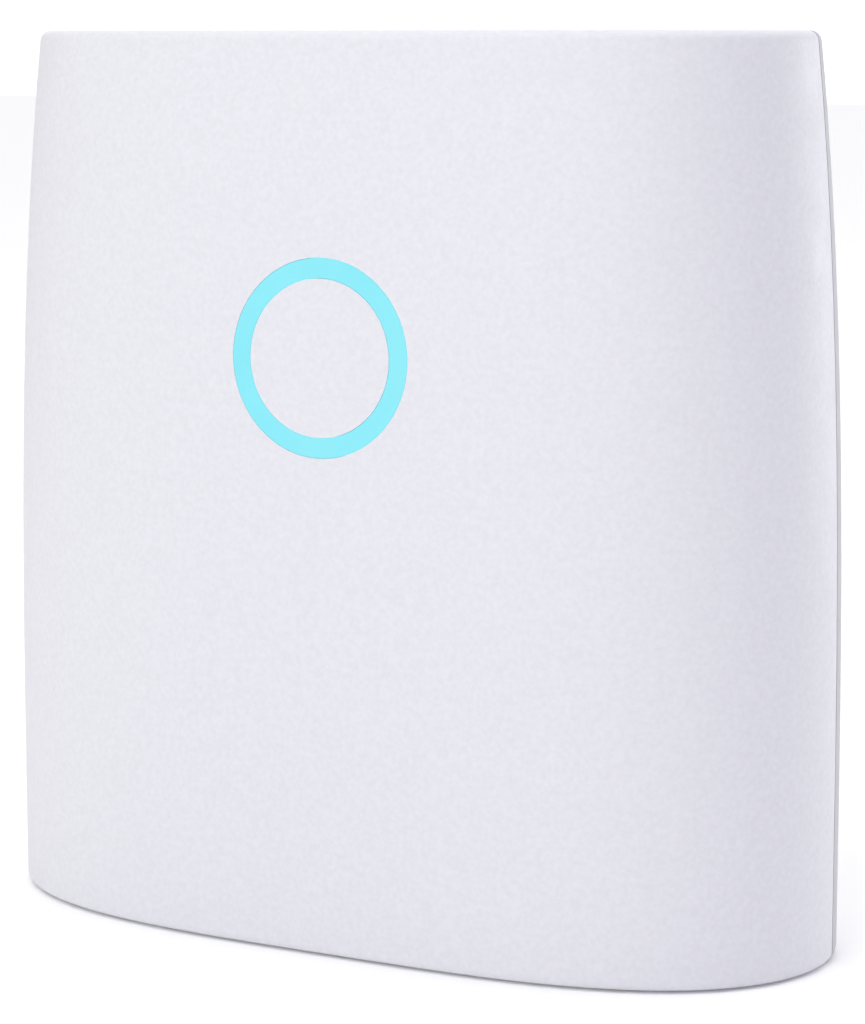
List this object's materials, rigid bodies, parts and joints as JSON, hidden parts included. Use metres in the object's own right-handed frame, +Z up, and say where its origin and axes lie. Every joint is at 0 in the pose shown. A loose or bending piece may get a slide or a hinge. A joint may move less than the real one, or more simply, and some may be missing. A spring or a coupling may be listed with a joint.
{
  "type": "wireless router",
  "caption": "Upright wireless router: a white lens-section tower with a glowing ring on its front, standing on a rubber foot, with sockets and buttons in a bay at the back.",
  "frame": {"origin": "on the table, under the middle of the footprint", "axes": "+Z up, -Y out of the front with the ring, +Y out of the back with the sockets, X across the width"},
  "size_m": [0.146, 0.064, 0.145],
  "materials": {
    "white_shell": "fine moulded texture",
    "rear_shell": "fine moulded texture",
    "base_grey": "moulded",
    "foot_rubber": "matte",
    "label_film": "blank printed film",
    "zinc_screw": "zinc plated",
    "ring_glow": "lit light guide",
    "white_reflector": "matte",
    "board_green": "solder mask over glass fibre",
    "led_lens": "clear silicone over ceramic",
    "ribbon_white": "flat cable",
    "connector_cream": "moulded",
    "frame_grey": "moulded",
    "chip_black": "moulded epoxy",
    "ferrite_grey": "ferrite in epoxy",
    "pad_blue": "silicone",
    "sink_aluminium": "extruded",
    "pin_black": "moulded",
    "tin_shield": "tin plated",
    "can_aluminium": "drawn can",
    "antenna_brass": "plated stamping",
    "cable_grey": "jacket",
    "plug_brass": "gold plated",
    "panel_grey": "fine moulded texture",
    "jack_black": "moulded",
    "contact_gold": "gold plated",
    "link_light": "light pipe",
    "pin_nickel": "nickel plated",
    "button_grey": "moulded",
    "stem_white": "moulded"
  },
  "bodies": {
    "housing": {"front_shell": "white_shell", "ring_center_cap": "white_shell", "rear_shell": "rear_shell", "base_plate": "base_grey", "rubber_foot": "foot_rubber", "rating_label": "label_film", "case_screws": "zinc_screw", "frame_screws": "zinc_screw", "board_screws": "zinc_screw", "led_board_screws": "zinc_screw", "light_ring": "ring_glow", "light_baffle": "white_reflector", "led_board": "board_green", "main_board": "board_green", "ring_leds": "led_lens", "led_ribbon": "ribbon_white", "ribbon_connectors": "connector_cream", "inner_frame": "frame_grey", "soc_chip": "chip_black", "memory_chips": "chip_black", "flash_chip": "chip_black", "wifi_chips": "chip_black", "ethernet_transformers": "chip_black", "inductors": "ferrite_grey", "thermal_pad": "pad_blue", "heat_sink": "sink_aluminium", "heat_sink_pins": "pin_black", "shield_can_left": "tin_shield", "shield_can_right": "tin_shield", "rear_shield_can": "tin_shield", "capacitors": "can_aluminium", "antenna_left": "antenna_brass", "antenna_right": "antenna_brass", "antenna_top_left": "antenna_brass", "antenna_top_right": "antenna_brass", "antenna_cable_left": "cable_grey", "antenna_cable_right": "cable_grey", "antenna_cable_top_left": "cable_grey", "antenna_cable_top_right": "cable_grey", "coax_plugs": "plug_brass", "port_panel": "panel_grey", "wan_jack_shield": "tin_shield", "lan_jack_shield": "tin_shield", "wan_jack_insert": "jack_black", "lan_jack_insert": "jack_black", "jack_contacts": "contact_gold", "jack_link_lights": "link_light", "power_jack_housing": "jack_black", "power_jack_pin": "pin_nickel", "pairing_switch": "jack_black", "reset_switch": "jack_black"},
    "pairing_button": {"pairing_button": "button_grey", "pairing_switch_stem": "stem_white"},
    "reset_stem": {"reset_switch_stem": "stem_white"}
  },
  "joints": [
    {"name": "pairing_press", "type": "slide", "parent": "housing", "child": "pairing_button", "axis": [0, -1, 0], "range_m": [0, 0.0006], "stiffness_N_per_m": 800, "springref_m": -0.0004},
    {"name": "reset_press", "type": "slide", "parent": "housing", "child": "reset_stem", "axis": [0, -1, 0], "range_m": [0, 0.0003], "stiffness_N_per_m": 900, "springref_m": -0.0004}
  ]
}
